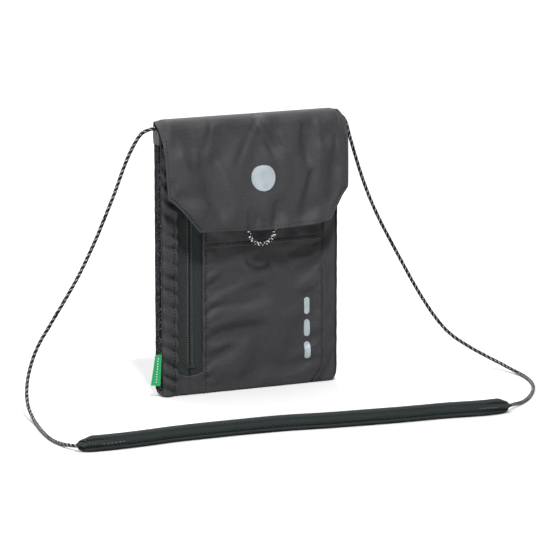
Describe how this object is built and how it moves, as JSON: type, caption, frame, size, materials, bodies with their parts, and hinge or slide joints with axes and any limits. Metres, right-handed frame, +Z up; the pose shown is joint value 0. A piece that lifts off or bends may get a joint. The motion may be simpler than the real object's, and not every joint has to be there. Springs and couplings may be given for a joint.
{
  "type": "neck pouch wallet",
  "caption": "Slim upright fabric neck pouch with a drop-over flap, a vertical zip pocket, an open top compartment, and a braided neck cord with a flat neck sleeve.",
  "frame": {"origin": "middle of the pouch's base, on the surface that it stands on", "axes": "+Z up the pouch; the front with the flap and zip faces -Y; +X is to the right as seen from the front"},
  "size_m": [0.3634, 0.1464, 0.1904],
  "materials": {
    "shell_fabric": "coated nylon ripstop, matt, charcoal",
    "back_fabric": "smooth polyester, matt, black",
    "lining_fabric": "thin coated lining, grey",
    "binding_fabric": "knitted elastic edge binding, near black",
    "zip_tape": "twill zip tape, dark green grey",
    "zip_coil": "nylon coil",
    "slider_metal": "black enamelled slider",
    "touch_fastener": "hook and loop tape, black",
    "tab_webbing": "light grey woven tape",
    "tag_ribbon": "woven green ribbon, no lettering",
    "cord_braid": "black braid with light grey flecks",
    "sleeve_weave": "flat woven sleeve, dark green black"
  },
  "bodies": {
    "pouch": {"back_panel": "back_fabric", "card_sleeve": "lining_fabric", "compartment_wall": "lining_fabric", "side_gusset_left": "back_fabric", "side_gusset_right": "back_fabric", "base_gusset": "back_fabric", "front_left_strip": "shell_fabric", "front_pocket_panel": "shell_fabric", "front_yoke": "shell_fabric", "front_right_strip": "shell_fabric", "zip_tape_left": "zip_tape", "zip_tape_right": "zip_tape", "zip_coil_left": "zip_coil", "zip_coil_right": "zip_coil", "zip_top_stop": "slider_metal", "zip_bottom_stop": "slider_metal", "zip_end_patch": "shell_fabric", "edge_binding_left": "binding_fabric", "edge_binding_right": "binding_fabric", "mouth_binding": "binding_fabric", "loop_patch": "touch_fastener", "cord_tab_left": "tab_webbing", "cord_tab_right": "tab_webbing", "side_tag": "tag_ribbon", "neck_cord": "cord_braid", "neck_sleeve": "sleeve_weave"},
    "flap": {"flap_outer": "shell_fabric", "flap_lining": "back_fabric", "hook_patch": "touch_fastener"},
    "pull_loop": {"flap_pull_loop": "cord_braid"},
    "slider": {"zip_slider": "slider_metal"},
    "puller": {"zip_puller": "slider_metal"}
  },
  "joints": [
    {"name": "flap_hinge", "type": "hinge", "parent": "pouch", "child": "flap", "pos_m": [0, 0.0046, 0.1892], "axis": [-1, 0, 0], "range_deg": [0, 175]},
    {"name": "loop_swing", "type": "hinge", "parent": "flap", "child": "pull_loop", "pos_m": [0.0027, -0.0189, 0.11215], "axis": [-1, 0, 0], "range_deg": [-10, 70]},
    {"name": "zip_slide", "type": "slide", "parent": "pouch", "child": "slider", "axis": [0, 0, -1], "range_m": [0, 0.121]},
    {"name": "puller_lift", "type": "hinge", "parent": "slider", "child": "puller", "pos_m": [-0.0445, -0.0089, 0.151], "axis": [-1, 0, 0], "range_deg": [0, 18]}
  ]
}
